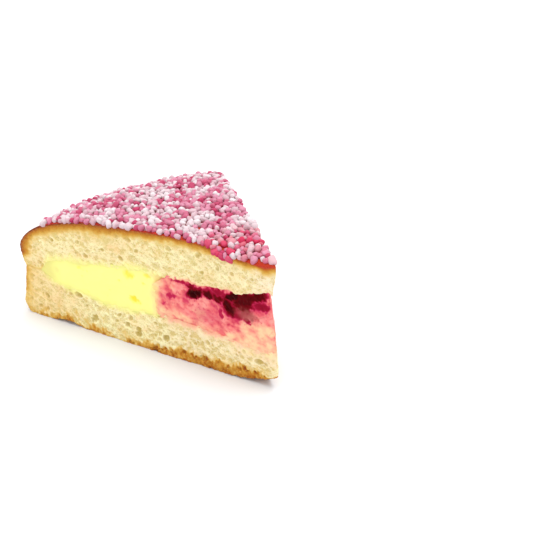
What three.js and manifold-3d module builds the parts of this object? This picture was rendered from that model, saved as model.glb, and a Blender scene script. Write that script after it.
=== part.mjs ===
// A slice of filled brioche cake: an eighth of a round brioche, split through the middle and filled with
// a ring of yellow pastry cream round a heart of pink raspberry mousse, which carries a bed of dark
// raspberries. The lid is crusted with sugar pearls.
//
// Millimetres, +Z up. The sections are drawn as (s, z): s runs from the cake's axis, which is the tip of
// the slice, out to the rim, and z up from the table. turn runs from 0 at the near cut to 1 at the far cut.

import * as THREE from "three";
import { mergeVertices } from "three/addons/utils/BufferGeometryUtils.js";
import Module from "manifold-3d";

// Driving dimensions
const CAKE_RADIUS = 131; // widest ring of the lid
const SLICE_ANGLE = THREE.MathUtils.degToRad(45);
const TIP_RADIUS = 0.8; // the knife leaves the tip this blunt
const CROWN_HEIGHT = 56.1; // top crust at the middle of the cake
const WIDEST_HEIGHT = 31.1; // where the lid bulges most
const SEAM_HEIGHT = 23.4; // lid and base meet at the rim
const SEAM_RADIUS = 128.4;
const SEAM_START = 120; // the fillings end inside this radius
const RISE_START = 96; // from here out the hollow for the fillings closes up
const GAP = 0.3; // between neighbouring layers

// Facets: round the slice, and along the faces that meet the fillings
const TURN_STEPS = 12;
const RISE_STEPS = 9;
const BOWL_STEPS = 15;
const BOWL_END = RISE_START - 6;
const FILLING_STEPS = 16;
const BED_STEPS = 24;

// The lid's crust
const DOME_STEPS = 28;
const MIDDLE_DIP = 1.2; // the cake's middle has sunk a little
const MIDDLE_DIP_RADIUS = 45;
const CHIP_DEPTH = 1.8; // crust broken off along the near cut, close to the tip
const CHIP_END = 27;
const CHIP_WIDTH = 0.3; // as a share of the turn
const RIM_SWELL = [0.84, 1.2]; // the dome is fuller towards the rim, and most away from the near cut
const CRUST_RIPPLE = 0.5;

// The base's underside and rim
const ARCH_RADIUS = 107; // a shallow groove that lifts off the table inside the rim
const ARCH_WIDTH = 8;
const ARCH_HEIGHT = 1.6;
const TIP_LIFT = [5.5, 2]; // the tip curls up off the table, more at the near cut than at the far one
const TIP_LIFT_LENGTH = 36;
const FOOT_RADIUS = 131.5;
const FOOT_HEIGHT = 4.5;
const FOOT_CORNER = 6; // how far the rounded foot reaches in

// The fillings, set back a little from the tip
const CUSTARD_END = SEAM_START - 2;
const BORDER_BULGE = new THREE.Vector2(1.6, 0); // the mousse leans into the custard at half height
const MOUSSE_START = 1.6;
const BED_START = 2.2;
const BED_LUMP = 0.9; // the raspberries hang down unevenly
const BED_LUMP_LENGTH = 13;

// The sugar pearls that stand out most, a share of the real number
const PEARL_RADIUS = [1.3, 1.9]; // smallest and largest
const PEARL_PITCH = 5.8;
const PEARL_ROWS_START = 5;
const PEARL_ROWS_END = 116; // the crust is bare from here to the rim
const PEARL_STAND = 0.4; // share of its radius that a pearl's middle stands above the crust
const PEARL_SEED = 20;

const lerp = THREE.MathUtils.lerp;
const smoothstep = THREE.MathUtils.smoothstep;

// A smooth curve of z against s through a few points.
function curve(points) {
  const through = new THREE.CubicInterpolant(
    points.map(([s]) => s),
    points.map(([, z]) => z),
    1,
  );
  return (s) => through.evaluate(s)[0];
}

// A height that follows one curve at the near cut and another at the far cut.
function between(near, far) {
  return (s, turn) => lerp(near(s), far(s), smoothstep(turn, 0, 1));
}

// The top of the base: a shallow bowl that rises to the seam.
const baseTop = between(
  curve([[0, 16.6], [22, 17.2], [57, 18.6], [84, 16.2], [96, 18], [115, 20.8], [SEAM_START, SEAM_HEIGHT]]),
  curve([[0, 19.6], [24, 20], [62, 17.2], [92, 15.4], [111, 16.8], [SEAM_START, SEAM_HEIGHT]]),
);

// The underside of the lid: highest at the tip, and down on the base at the seam.
const lidUnderside = between(
  curve([
    [0, 42.1], [13, 39.6], [30, 37.9], [54, 37], [84, 34], [96, 31.6], [115, 28.4],
    [SEAM_START, SEAM_HEIGHT],
  ]),
  curve([[0, 40.1], [24, 41.6], [60, 42], [86, 39.6], [104, 35], [114, 29.6], [SEAM_START, SEAM_HEIGHT]]),
);

// How thick the raspberries lie under the lid, before they are made lumpy.
const bedThickness = between(
  curve([[2, 7.5], [12, 12], [21, 10], [30, 5.5], [40, 3.6], [48, 1.4]]),
  curve([[2, 3.4], [18, 9.5], [50, 8.6], [62, 4.4], [80, 6.5], [91, 10], [98, 3.5]]),
);

// Where the mousse meets the ring of pastry cream, and where the raspberries end before it.
const mousseEnd = (turn) => lerp(58, 98.5, smoothstep(turn, 0, 1)) + 1.2 * Math.sin(9 * turn);
const bedEnd = (turn) => lerp(47, 96, smoothstep(turn, 0, 1));

function bedUnderside(s, turn) {
  const lumps = Math.sin((2 * Math.PI * s) / BED_LUMP_LENGTH + 8 * turn);
  return lidUnderside(s, turn) - GAP - bedThickness(s, turn) - BED_LUMP * lumps;
}

// The domed crust, with the chip that is missing from its near edge.
function crustTop(s, turn) {
  const dome = Math.sqrt(Math.max(0, 1 - (s / CAKE_RADIUS) ** 3));
  const dip = MIDDLE_DIP * (1 - smoothstep(s, 0, MIDDLE_DIP_RADIUS));
  const chipped = smoothstep(s, 0, 6) * (1 - smoothstep(s, CHIP_END - 8, CHIP_END));
  const chip = CHIP_DEPTH * chipped * (1 - smoothstep(turn, 0, CHIP_WIDTH));
  const swollen = smoothstep(s, 70, 108) * (1 - smoothstep(s, 116, CAKE_RADIUS));
  const swell = lerp(...RIM_SWELL, smoothstep(turn, 0, 0.4)) * swollen;
  const ripple = CRUST_RIPPLE * dome * Math.sin(s / 11 + 5 * turn) * Math.cos(s / 17 - 7 * turn);
  return WIDEST_HEIGHT + (CROWN_HEIGHT - WIDEST_HEIGHT) * dome - dip - chip + swell + ripple;
}

function baseUnderside(s, turn) {
  const arch = ARCH_HEIGHT * Math.max(0, 1 - ((s - ARCH_RADIUS) / ARCH_WIDTH) ** 2);
  const curl = lerp(...TIP_LIFT, turn) * Math.max(0, 1 - s / TIP_LIFT_LENGTH) ** 3;
  return arch + curl;
}

// Points along a height function, from one radius to another, moved up by lift.
function along(height, turn, from, to, steps, lift = 0) {
  return Array.from({ length: steps + 1 }, (_, i) => {
    const s = lerp(from, to, i / steps);
    return new THREE.Vector2(s, height(s, turn) + lift);
  });
}

// The point halfway between the base and the lid.
function halfway(s, turn) {
  return new THREE.Vector2(s, (baseTop(s, turn) + lidUnderside(s, turn)) / 2);
}

// Points along a smooth open line through a few (s, z) places.
function smoothLine(places, steps) {
  return new THREE.SplineCurve(places.map(([s, z]) => new THREE.Vector2(s, z))).getPoints(steps);
}

// A section point put in its place round the cake's axis, with the slice's middle line along -X.
function place(point, turn) {
  const angle = (turn - 0.5) * SLICE_ANGLE;
  return [-point.x * Math.cos(angle), point.x * Math.sin(angle), point.y];
}

// A closed solid: a section that is swept from the near cut to the far cut, with a flat face at each cut.
// section(turn) lists its points anticlockwise, always the same number of them.
function sweptSlice(section) {
  const sections = Array.from({ length: TURN_STEPS + 1 }, (_, k) => section(k / TURN_STEPS));
  const count = sections[0].length;
  const last = TURN_STEPS * count;
  const index = [];
  for (let k = 0; k < TURN_STEPS; k++) {
    for (let i = 0; i < count; i++) {
      const next = (i + 1) % count;
      const [a, b] = [k * count + i, k * count + next];
      const outward = sections[k][next].x > sections[k][i].x; // facets of neighbouring layers split alike
      if (outward) index.push(a, b, a + count, b, b + count, a + count);
      else index.push(a, b, b + count, a, b + count, a + count);
    }
  }
  for (const [a, b, c] of THREE.ShapeUtils.triangulateShape(sections[0], [])) index.push(a, c, b);
  for (const [a, b, c] of THREE.ShapeUtils.triangulateShape(sections[TURN_STEPS], [])) {
    index.push(last + a, last + b, last + c);
  }
  const positions = sections.flatMap((points, k) => points.flatMap((p) => place(p, k / TURN_STEPS)));
  return new THREE.BufferGeometry()
    .setAttribute("position", new THREE.Float32BufferAttribute(positions, 3))
    .setIndex(index);
}

// Lower half of the brioche: flat on the table, with a rounded foot and a side that leans in to the seam.
function baseSection(turn) {
  const foot = smoothLine(
    [
      [FOOT_RADIUS - FOOT_CORNER, 0],
      [FOOT_RADIUS - FOOT_CORNER / 3, FOOT_HEIGHT / 5],
      [FOOT_RADIUS, FOOT_HEIGHT],
      [lerp(FOOT_RADIUS, SEAM_RADIUS, 0.6), lerp(FOOT_HEIGHT, SEAM_HEIGHT, 0.6)],
      [SEAM_RADIUS, SEAM_HEIGHT - GAP / 2],
    ],
    10,
  );
  return [
    ...along(baseUnderside, turn, TIP_RADIUS, TIP_LIFT_LENGTH, 6),
    ...along(baseUnderside, turn, ARCH_RADIUS - ARCH_WIDTH, ARCH_RADIUS + ARCH_WIDTH, 6),
    ...foot,
    ...along(baseTop, turn, SEAM_START, RISE_START, RISE_STEPS, -GAP / 2),
    ...along(baseTop, turn, BOWL_END, TIP_RADIUS, BOWL_STEPS, -GAP / 2),
  ];
}

// Ring of pastry cream, pinched to an edge at the seam.
function custardSection(turn) {
  const inner = mousseEnd(turn) + GAP / 2;
  return [
    ...along(baseTop, turn, inner, CUSTARD_END, FILLING_STEPS, GAP / 2),
    halfway(CUSTARD_END + 1, turn),
    ...along(lidUnderside, turn, CUSTARD_END, inner, FILLING_STEPS, -GAP / 2),
    halfway(inner, turn).add(BORDER_BULGE),
  ];
}

// Heart of raspberry mousse, from the tip to the pastry cream. Past the raspberries it reaches the lid.
function mousseSection(turn) {
  const outer = mousseEnd(turn) - GAP / 2;
  return [
    ...along(baseTop, turn, MOUSSE_START, outer, FILLING_STEPS, GAP / 2),
    halfway(outer, turn).add(BORDER_BULGE),
    ...along(lidUnderside, turn, outer, bedEnd(turn) + 1, 3, -GAP / 2),
    ...along(bedUnderside, turn, bedEnd(turn), BED_START, BED_STEPS, -GAP),
  ];
}

// Bed of dark raspberries between the mousse and the lid.
function bedSection(turn) {
  return [
    ...along(bedUnderside, turn, BED_START, bedEnd(turn), BED_STEPS),
    ...along(lidUnderside, turn, bedEnd(turn), BED_START, FILLING_STEPS, -GAP / 2),
  ];
}

// Upper half of the brioche: hollowed below for the fillings, bulging at the rim and domed on top.
function lidSection(turn) {
  const bulge = smoothLine(
    [
      [SEAM_RADIUS, SEAM_HEIGHT + GAP / 2],
      [lerp(SEAM_RADIUS, CAKE_RADIUS, 0.55), lerp(SEAM_HEIGHT, WIDEST_HEIGHT, 0.4)],
      [CAKE_RADIUS, WIDEST_HEIGHT],
    ],
    4,
  ).slice(0, -1);
  const dome = Array.from({ length: DOME_STEPS + 1 }, (_, i) => {
    const s = lerp(TIP_RADIUS, CAKE_RADIUS, Math.sin((Math.PI / 2) * (1 - i / DOME_STEPS)));
    return new THREE.Vector2(s, crustTop(s, turn));
  });
  return [
    ...along(lidUnderside, turn, TIP_RADIUS, BOWL_END, BOWL_STEPS, GAP / 2),
    ...along(lidUnderside, turn, RISE_START, SEAM_START, RISE_STEPS, GAP / 2),
    ...bulge,
    ...dome,
  ];
}

// The same random numbers in [0, 1) on every run.
function seededRandom(seed) {
  let state = seed;
  return () => {
    state = (Math.imul(state, 1664525) + 1013904223) >>> 0;
    return state / 2 ** 32;
  };
}

// Sugar pearls in staggered rows round the cake, each a lump of its own size, shape and tilt.
function pearls() {
  const random = seededRandom(PEARL_SEED);
  const jitter = (amount) => amount * (2 * random() - 1);
  const made = [];
  for (let row = PEARL_ROWS_START; row < PEARL_ROWS_END; row += PEARL_PITCH * 0.87) {
    const margin = PEARL_RADIUS[1] + 0.5; // clear of both cuts
    const halfAngle = SLICE_ANGLE / 2 - margin / row;
    const count = Math.floor((2 * halfAngle * row) / PEARL_PITCH) + 1;
    for (let i = 0; i < count; i++) {
      const share = count > 1 ? (i + jitter(0.16)) / (count - 1) : 0.5;
      const angle = lerp(-halfAngle, halfAngle, THREE.MathUtils.clamp(share, 0, 1));
      const s = row + jitter(0.8);
      const turn = angle / SLICE_ANGLE + 0.5;
      const radius = lerp(...PEARL_RADIUS, random());
      const pearl = new THREE.Object3D();
      pearl.position.set(...place({ x: s, y: crustTop(s, turn) + PEARL_STAND * radius }, turn));
      pearl.rotation.set(jitter(Math.PI), jitter(Math.PI), jitter(Math.PI));
      pearl.scale.set(radius, radius * lerp(0.75, 1, random()), radius * lerp(0.7, 0.95, random()));
      pearl.updateMatrix();
      made.push(new THREE.IcosahedronGeometry(1, 0).applyMatrix4(pearl.matrix));
    }
  }
  return made;
}

const wasm = await Module();
wasm.setup();

function toManifold(geometry) {
  const bare = new THREE.BufferGeometry().setAttribute("position", geometry.getAttribute("position"));
  const merged = mergeVertices(bare.setIndex(geometry.index), 1e-4);
  return new wasm.Manifold(
    new wasm.Mesh({
      numProp: 3,
      vertProperties: merged.attributes.position.array,
      triVerts: new Uint32Array(merged.index.array),
    }),
  );
}

function toGeometry(manifold) {
  const { vertProperties, triVerts } = manifold.getMesh();
  return new THREE.BufferGeometry()
    .setAttribute("position", new THREE.BufferAttribute(vertProperties, 3))
    .setIndex(new THREE.BufferAttribute(triVerts, 1));
}

// The lid and the pearls that are stuck to its crust are one piece.
function pearledLid() {
  const crusted = pearls().reduce(
    (lid, pearl) => lid.add(toManifold(pearl)),
    toManifold(sweptSlice(lidSection)),
  );
  return toGeometry(crusted);
}

function piece(name, geometry, color, roughness) {
  geometry.computeVertexNormals();
  const material = new THREE.MeshStandardMaterial({ color, roughness, metalness: 0, flatShading: true });
  const mesh = new THREE.Mesh(geometry, material);
  mesh.name = name;
  return mesh;
}

const slice = new THREE.Group();
slice.add(
  piece("base", sweptSlice(baseSection), "#f0dfa6", 0.9),
  piece("custard", sweptSlice(custardSection), "#fdfb9a", 0.5),
  piece("mousse", sweptSlice(mousseSection), "#f58a84", 0.7),
  piece("raspberries", sweptSlice(bedSection), "#5a0a16", 0.35),
  piece("lid", pearledLid(), "#e9b98f", 0.7),
);

// The origin is on the table, under the middle of the slice.
const box = new THREE.Box3().setFromObject(slice, true);
const middle = box.getCenter(new THREE.Vector3());
slice.children.forEach((mesh) => mesh.position.set(-middle.x, -middle.y, -box.min.z));

export default slice;
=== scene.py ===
import math
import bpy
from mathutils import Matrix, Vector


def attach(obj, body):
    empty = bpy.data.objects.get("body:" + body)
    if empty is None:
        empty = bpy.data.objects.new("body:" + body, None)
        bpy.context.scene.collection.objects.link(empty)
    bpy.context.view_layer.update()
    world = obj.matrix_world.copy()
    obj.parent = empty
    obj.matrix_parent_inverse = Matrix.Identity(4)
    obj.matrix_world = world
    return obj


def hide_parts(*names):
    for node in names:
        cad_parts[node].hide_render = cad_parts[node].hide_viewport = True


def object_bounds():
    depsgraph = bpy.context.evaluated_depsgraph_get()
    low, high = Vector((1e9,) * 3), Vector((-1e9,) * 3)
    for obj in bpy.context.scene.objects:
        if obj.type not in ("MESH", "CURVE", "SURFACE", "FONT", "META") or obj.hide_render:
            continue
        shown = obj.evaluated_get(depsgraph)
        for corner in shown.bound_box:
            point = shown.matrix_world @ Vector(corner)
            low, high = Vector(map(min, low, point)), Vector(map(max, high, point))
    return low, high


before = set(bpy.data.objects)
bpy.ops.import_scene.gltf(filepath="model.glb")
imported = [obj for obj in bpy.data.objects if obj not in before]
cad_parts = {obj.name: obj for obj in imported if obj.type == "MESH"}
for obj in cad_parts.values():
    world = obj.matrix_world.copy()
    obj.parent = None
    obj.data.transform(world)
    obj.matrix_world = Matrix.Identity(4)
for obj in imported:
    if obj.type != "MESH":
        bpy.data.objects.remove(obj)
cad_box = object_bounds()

from types import SimpleNamespace

import bmesh
import bpy
import numpy as np
from mathutils import Euler, Matrix, Vector


# Camera. It looks down on the slice's near cut from beyond the tip, through a long lens.
# The slice lies left of the picture's middle. Lengths are in millimetres up to the meshes.

MM = 0.001
HALF_ANGLE = math.radians(22.5)  # the slice is an eighth of the cake
TIP_RADIUS = 0.8
TIP_X = cad_box[1][0] / MM + TIP_RADIUS * math.cos(HALF_ANGLE)  # the cake's axis

AZIMUTH = math.radians(54.04)
ELEVATION = math.radians(26.79)
ROLL = math.radians(-0.71)
CAMERA_DISTANCE = 463.3
CAMERA_AIM = Vector((TIP_X - 32.34, 20.6, 34.17))
LENS = 75

flat = math.cos(ELEVATION)
backwards = Vector((math.sin(AZIMUTH) * flat, -math.cos(AZIMUTH) * flat, math.sin(ELEVATION)))
sideways = Vector((math.cos(AZIMUTH), math.sin(AZIMUTH), 0))
upwards = backwards.cross(sideways)
turned_side = sideways * math.cos(ROLL) + upwards * math.sin(ROLL)
turned_up = upwards * math.cos(ROLL) - sideways * math.sin(ROLL)
stand = Matrix.Translation((CAMERA_AIM + backwards * CAMERA_DISTANCE) * MM)

camera_data = bpy.data.cameras.new("camera")
camera_data.lens = LENS
camera_data.sensor_width = 36
camera_data.clip_start = 0.01
camera = bpy.data.objects.new("camera", camera_data)
camera.matrix_world = stand @ Matrix((turned_side, turned_up, backwards)).transposed().to_4x4()
bpy.context.collection.objects.link(camera)
bpy.context.scene.camera = camera


# Base. The lower half of a yeast-raised brioche, baked on a flat sheet: an open, buttery crumb with a
# thin golden side and a browned, pitted underside. Its top is hollowed a little and carries the
# fillings, whose juice and cream soak into the crumb. A knife has opened its pores on both cuts.

FOOT_RADIUS = 131.5
FOOT_HEIGHT = 4.5
FOOT_START = 125.5
SEAM_RADIUS = 128.4
SEAM_HEIGHT = 23.4
SEAM_START = 120
ARCH_RADIUS = 107  # where the underside arches off the table
ARCH_WIDTH = 8
ARCH_HEIGHT = 1.6
WALL_BEND = (129.64, 15.84)  # a point (s, z) that the wall bulges through
FOOT_BEND = (129.5, 0.9)  # and one that the rounded foot passes
WALL_WRINKLE = 0.0018  # as a share of the way to the slice's middle
TIP_LIFT = 5.5  # how far the underside curls up at the tip
FAR_TIP_LIFT = 2
TIP_LIFT_LENGTH = 36
TIP_CORNER = 3.5
TIP_LENGTH = 14
PRESS_REACH = 5  # how far behind a cut the soft layers give way
KNIFE_WAVE = 0.35  # how far the knife's path wavers
RAGGED_DEPTH = 0.7  # how far the torn crumb strays from a smooth border
BASE_PORES = 340  # on each cut
BASE_PORE_SIZES = (0.32, 1.7)  # smallest and largest radius
PORE_FINENESS = 3.2
# Pores are darkened by their depth with painted shade, on the crumb and on the crust.
PORE_FULL = 0.9  # a pore of this depth is as dark as they get
CRUMB_DEPTH = 0.45
OPEN_CRUMB_END = (40, 65)  # the crumb by the tip is more open, up to these radii
SOAK_END = (57, 100)  # how far the juice reaches at the near cut and at the far cut
CREAM_END = (114, 124)  # the custard's stain fades between these radii
BRIOCHE_CELLS = (420, 60, 46)  # along the radius, up and round the slice
GRID_TURN = np.array(Euler((0.5, 0.8, 0.3)).to_matrix())  # tilts the grid of the random values


def mixed(a, b, share):
    return a + (b - a) * share


def smoothstep(x, low, high):
    share = np.clip((x - low) / (high - low), 0, 1)
    return share * share * (3 - 2 * share)


def curve(*points):
    """A smooth line through a few points, such as a height z over the radius s."""
    s, z = np.array(points, float).T
    slope = np.diff(z) / np.diff(s)
    tangent = np.concatenate([slope[:1], (slope[:-1] + slope[1:]) / 2, slope[-1:]])

    def height(at):
        n = np.clip(np.searchsorted(s, at) - 1, 0, len(s) - 2)
        span = s[n + 1] - s[n]
        p = np.clip((at - s[n]) / span, 0, 1)
        rise = (3 - 2 * p) * p * p
        leave = p * (1 - p) ** 2
        arrive = p * p * (p - 1)
        return mixed(z[n], z[n + 1], rise) + span * (leave * tangent[n] + arrive * tangent[n + 1])

    return height


def between(near, far):
    """A height that follows one curve at the near cut and another at the far cut."""
    return lambda s, turn: mixed(near(s), far(s), smoothstep(turn, 0, 1))


# How far the tip stands out at each height: the base sags outwards and the fruit has fallen back.
tip_stand = curve((0, -1), (8, 1.4), (16, 0.7), (26, -0.2), (37, -2), (43, -1.6), (50, 0.2), (58, 0.3))


def place(s, turn, z):
    """A point of the slice put in its place.

    s is its distance from the cake's axis, turn runs from 0 at the near cut to 1 at the far cut, and z is
    its height above the table."""
    angle = (2 * turn - 1) * HALF_ANGLE
    out = tip_stand(z) * (1 - smoothstep(s, 0, TIP_LENGTH))
    return np.stack([TIP_X - s * np.cos(angle) + out, s * np.sin(angle), z], -1)


def noise(points, size, seed):
    """Smooth random values from -1 to 1, in lumps about size across, on a grid that no face runs along."""
    spot = points @ GRID_TURN / size
    cell = np.floor(spot).astype(np.int64)
    share = spot - cell
    share = share * share * (3 - 2 * share)
    total = np.zeros(len(points))
    # The whole-number place of each corner of a cell is scrambled into a random value of its own.
    for corner in np.ndindex(2, 2, 2):
        key = (cell + corner) @ np.array([73856093, 19349663, 83492791]) + 97531 * seed
        key = ((key ^ (key >> 13)) * 1274126177) & 0xFFFFFFFF
        key = ((key ^ (key >> 15)) * 668265263) & 0xFFFFFFFF
        value = (key >> 16) / 32767.5 - 1
        total += value * np.prod(np.where(corner, share, 1 - share), axis=1)
    return total


def torn(height, seed):
    """A border height that a knife and soft crumb have made uneven, up to the smooth seam."""

    def uneven(s, turn):
        points = place(s, turn, 0 * s)
        stray = noise(points, 3.5, seed)
        stray = stray + 0.6 * noise(points, 1.4, seed + 1) + 0.4 * noise(points, 0.8, seed + 2)
        return height(s, turn) + RAGGED_DEPTH * stray * (1 - smoothstep(s, SEAM_START - 8, SEAM_START))

    return uneven


base_bowl = between(
    curve((0, 16.6), (22, 17.2), (57, 18.6), (84, 16.2), (96, 18), (115, 20.8), (SEAM_START, SEAM_HEIGHT)),
    curve((0, 19.6), (24, 20), (62, 17.2), (92, 15.4), (111, 16.8), (SEAM_START, SEAM_HEIGHT)),
)
base_wall = curve((SEAM_RADIUS, SEAM_HEIGHT), WALL_BEND, (FOOT_RADIUS, FOOT_HEIGHT))
base_foot = curve((FOOT_START, 0), FOOT_BEND, (FOOT_RADIUS, FOOT_HEIGHT))
torn_bowl = torn(base_bowl, 71)


def base_top(s, turn):
    return np.where(s < SEAM_RADIUS, torn_bowl(s, turn), base_wall(s))


def base_underside(s, turn):
    arch = ARCH_HEIGHT * np.maximum(0, 1 - ((s - ARCH_RADIUS) / ARCH_WIDTH) ** 2)
    far_lift = mixed(TIP_LIFT, FAR_TIP_LIFT, smoothstep(s, 0, 12))
    curl = mixed(TIP_LIFT, far_lift, turn) * np.maximum(0, 1 - s / TIP_LIFT_LENGTH) ** 3
    short = np.maximum(0, TIP_CORNER - s)
    corner = TIP_CORNER - np.sqrt(TIP_CORNER**2 - short**2)
    return np.where(s < FOOT_START, arch + curl + corner, base_foot(s))


def even_stations(height, start, end, count):
    """Radii that lie evenly along a height line, so that a steep rim gets as many as the flat top."""
    fine = np.linspace(start, end, 6000)
    steps = np.hypot(np.diff(fine), np.diff(height(fine, 0.5)))
    length = np.concatenate([[0], np.cumsum(steps)])
    radii = np.interp(np.linspace(0, length[-1], count + 1), length, fine)
    return lambda share, turn: np.interp(share, np.linspace(0, 1, count + 1), radii)


def layer(radius, low, high, cells, pinched=False):
    """The skin of one layer of the slice, as points (s, turn, z) and triangles.

    radius gives s from a share of its length, low and high are its two heights, and cells counts its
    cells along s, up, and round the slice. A pinched layer closes to an edge at the rim."""
    along, upward, around = cells
    index = np.arange((along + 1) * (upward + 1) * (around + 1)).reshape(along + 1, upward + 1, -1)
    if pinched:
        index[-1] = index[-1, :1]
    near, far = index[:, :, 0].T, index[:, :, -1]
    under, over = index[:, 0], index[:, -1].T
    tip, rim = index[0].T, index[-1]
    triangles = []
    for side in (near, far, under, over, tip, rim):
        a, b, c, d = side[:-1, :-1], side[1:, :-1], side[1:, 1:], side[:-1, 1:]
        triangles += [np.stack([a, b, c], -1).reshape(-1, 3), np.stack([a, c, d], -1).reshape(-1, 3)]
    triangles = np.concatenate(triangles)
    whole = (np.diff(triangles, axis=1, append=triangles[:, :1]) != 0).all(axis=1)
    used, faces = np.unique(triangles[whole], return_inverse=True)
    i, j, k = np.unravel_index(used, index.shape)
    even = k / around
    turn = mixed(even, (1 - np.cos(math.pi * even)) / 2, 0.6)  # closer together at the cuts
    s = radius(i / along, turn)
    z = mixed(low(s, turn), high(s, turn), j / upward)
    return SimpleNamespace(
        s=s, turn=turn, z=z, near=k == 0, far=k == around, up=j / upward, faces=faces.reshape(-1, 3)
    )


def pressed(points, part, depth):
    """Moves the points on and near both cuts into the slice by depth, less at the thin tip.

    The knife's own wavy path is added, and it is the same for all layers."""
    path = KNIFE_WAVE * noise(points, 9, 70)
    depth = np.minimum(depth + path, 0.3 * part.s)
    inward = np.array([-math.sin(HALF_ANGLE), math.cos(HALF_ANGLE), 0])
    for angle, way in ((part.turn, 1), (1 - part.turn, -1)):
        behind_cut = part.s * np.sin(2 * HALF_ANGLE * angle)
        fade = np.maximum(0, 1 - behind_cut / PRESS_REACH)
        points = points + (depth * fade)[:, None] * inward * (1, way, 1)
    return points


def pores(part, points, seed, count, sizes, fineness):
    """How deep a knife-opened crumb is pitted on both cuts, and how much a point is a pore's lip.

    The pores are bubbles at random places. sizes are the smallest and largest radius, and a higher
    fineness makes large bubbles rarer."""
    depth = np.zeros(len(points))
    lip = np.zeros(len(points))
    ragged = 0.5 * noise(points, 0.8, seed)
    rng = np.random.default_rng(seed)
    for cut in (part.near, part.far):
        on_cut = np.flatnonzero(cut)
        on_cut = on_cut[np.argsort(part.s[on_cut])]
        s, z = part.s[on_cut], part.z[on_cut]
        for _ in range(count):
            at_s = rng.uniform(0, s[-1])
            at_z = rng.uniform(z.min(), z.max())
            radius = sizes[0] * (sizes[1] / sizes[0]) ** (rng.random() ** fineness)
            lean = rng.normal(0, 0.5)
            wide = rng.uniform(0.9, 1.35)
            first, last = np.searchsorted(s, (at_s - 2 * radius, at_s + 2 * radius))
            ds, dz = s[first:last] - at_s, z[first:last] - at_z
            along = (ds * math.cos(lean) + dz * math.sin(lean)) / (wide * radius)
            across = (dz * math.cos(lean) - ds * math.sin(lean)) / (0.9 * radius)
            hits = on_cut[first:last]
            reach = along**2 + across**2
            inside = np.maximum(0, 1 - reach + ragged[hits] * reach)
            depth[hits] = np.maximum(depth[hits], 0.7 * radius * np.sqrt(inside))
            lip[hits] = np.maximum(lip[hits], 1 - np.abs(np.sqrt(reach) - 1.25) / 0.3)
    return depth, lip * (depth == 0)


def crumb_web(points, seed):
    """How hollow the crumb is between its strands: 0 on a strand and 1 in the widest hollows."""
    drawn_out = points * (0.7, 0.7, 1)
    wide = np.abs(noise(drawn_out, 1.9, seed))
    fine = np.abs(noise(drawn_out, 0.9, seed + 1))
    return np.clip(wide + 0.8 * fine, 0, 1)


def colour(red, green, blue):
    """A colour as seen on a screen, from 0 to 255, as the shader takes it."""
    seen = np.array([red, green, blue]) / 255
    return (*np.where(seen <= 0.04045, seen / 12.92, ((seen + 0.055) / 1.055) ** 2.4).tolist(), 1)


class Shade:
    """One output of a node in a material. Sums and products with numbers or shades add Math nodes."""

    def __init__(self, tree, output=None):
        self.tree = tree
        self.output = output

    def node(self, kind, settings=None, sockets=None, out=0):
        """A new node: first its settings, then the values or links of its sockets."""
        made = self.tree.nodes.new(kind)
        for name, value in (settings or {}).items():
            if name == "stops":
                while len(made.color_ramp.elements) < len(value):
                    made.color_ramp.elements.new(1)
                for stop, (position, tint) in zip(made.color_ramp.elements, value):
                    stop.position = position
                    stop.color = tint
            else:
                setattr(made, name, value)
        for name, value in (sockets or {}).items():
            if isinstance(value, Shade):
                self.tree.links.new(value.output, made.inputs[name])
            else:
                made.inputs[name].default_value = value
        return Shade(self.tree, made.outputs[out] if made.outputs else None)

    def maths(self, operation, a, b):
        return self.node("ShaderNodeMath", {"operation": operation}, {0: a, 1: b})

    def __add__(self, other):
        return self.maths("ADD", self, other)

    def __mul__(self, other):
        return self.maths("MULTIPLY", self, other)

    def __sub__(self, other):
        return self.maths("SUBTRACT", self, other)

    def __rsub__(self, other):
        return self.maths("SUBTRACT", other, self)

    __radd__ = __add__
    __rmul__ = __mul__

    def mixed(self, a, b):
        """A colour between a and b, by this share."""
        return self.node("ShaderNodeMix", {"data_type": "RGBA"}, {0: self, 6: a, 7: b}, out=2)

    def field(self, name):
        """A number that is stored at each point of the mesh."""
        return self.node("ShaderNodeAttribute", {"attribute_name": name}, out=2)

    def speckle(self, size, detail=3):
        """Noise from 0 to 1, in lumps about size millimetres across."""
        where = self.node("ShaderNodeTexCoord", out=3)
        sockets = {"Vector": where, "Scale": 1 / (size * MM), "Detail": detail}
        return self.node("ShaderNodeTexNoise", None, sockets)

    def bubbles(self, size):
        """0 on the thin walls between bubbles about size millimetres across, and 1 inside them."""
        where = self.node("ShaderNodeTexCoord", out=3)
        sockets = {"Vector": where, "Scale": 2 / (size * MM)}
        wobble = self.node("ShaderNodeTexNoise", None, sockets, out=1)
        sway = (0.5 * size * MM,) * 3
        swayed = {0: wobble, 1: sway, 2: where}
        where = self.node("ShaderNodeVectorMath", {"operation": "MULTIPLY_ADD"}, swayed)
        sockets = {"Vector": where, "Scale": 1 / (size * MM)}
        edge = self.node("ShaderNodeTexVoronoi", {"feature": "DISTANCE_TO_EDGE"}, sockets)
        return edge.stretched(0.02, 0.3)

    def stretched(self, low, high):
        """This value's stretch from low to high as 0 to 1."""
        sockets = {"Value": self, "From Min": low, "From Max": high}
        return self.node("ShaderNodeMapRange", {"interpolation_type": "SMOOTHSTEP"}, sockets)

    def ramp(self, *stops):
        return self.node("ShaderNodeValToRGB", {"stops": stops}, {0: self})

    def bump(self, height, depth):
        sockets = {"Height": height, "Distance": depth * MM, "Strength": 1}
        return self.node("ShaderNodeBump", None, sockets)


def new_material(name):
    """A bare material and a first shade to build its nodes from."""
    material = bpy.data.materials.new(name)
    material.use_nodes = True
    material.node_tree.nodes.clear()
    return material, Shade(material.node_tree)


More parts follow.
